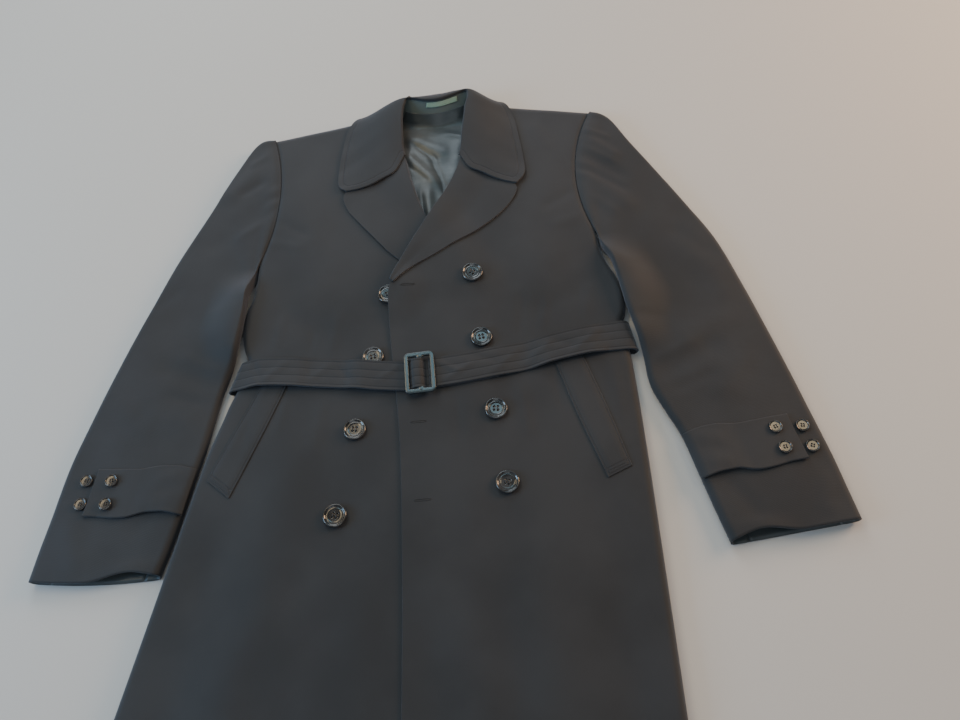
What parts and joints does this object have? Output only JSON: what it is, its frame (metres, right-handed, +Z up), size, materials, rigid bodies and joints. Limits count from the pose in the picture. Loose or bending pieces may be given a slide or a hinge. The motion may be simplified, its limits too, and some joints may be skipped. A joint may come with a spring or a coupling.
{
  "type": "trench coat",
  "caption": "Double-breasted belted trench coat laid flat on its back, with wide collar and lapels, set-in sleeves, cuff straps, slanted welt pockets and a buckled belt.",
  "frame": {"origin": "middle of the bottom face of the coat's box, as it lies on its back", "axes": "+Z up from the surface the coat lies on, +Y along the coat towards the collar, +X towards the wearer's left sleeve"},
  "size_m": [0.935, 1.1406, 0.0381],
  "materials": {
    "coat_cloth": "smooth dark charcoal-navy wool gabardine",
    "stand_cloth": "the same cloth on the inside of the collar, a little greener",
    "lining_satin": "silver-grey satin lining",
    "strip_tape": "pale green woven tape",
    "button_horn": "polished smoky dark horn look",
    "buckle_plastic": "polished dark navy moulding"
  },
  "bodies": {
    "root": {"front_right": "coat_cloth", "front_left": "coat_cloth", "back": "coat_cloth", "top_sleeve_right": "coat_cloth", "under_sleeve_right": "coat_cloth", "top_sleeve_left": "coat_cloth", "under_sleeve_left": "coat_cloth", "cuff_strap_right": "coat_cloth", "cuff_strap_left": "coat_cloth", "collar": "coat_cloth", "collar_stand": "stand_cloth", "lapel_right": "coat_cloth", "lapel_left": "coat_cloth", "lining": "lining_satin", "hanger_strip": "strip_tape", "pocket_welt_right": "coat_cloth", "pocket_welt_left": "coat_cloth", "belt": "coat_cloth", "buckle": "buckle_plastic", "button_left_1": "button_horn", "button_left_2": "button_horn", "button_left_3": "button_horn", "button_left_4": "button_horn", "button_right_1": "button_horn", "button_right_2": "button_horn", "button_right_3": "button_horn", "button_right_4": "button_horn", "cuff_button_right_1": "button_horn", "cuff_button_right_2": "button_horn", "cuff_button_right_3": "button_horn", "cuff_button_right_4": "button_horn", "cuff_button_left_1": "button_horn", "cuff_button_left_2": "button_horn", "cuff_button_left_3": "button_horn", "cuff_button_left_4": "button_horn"}
  },
  "joints": []
}
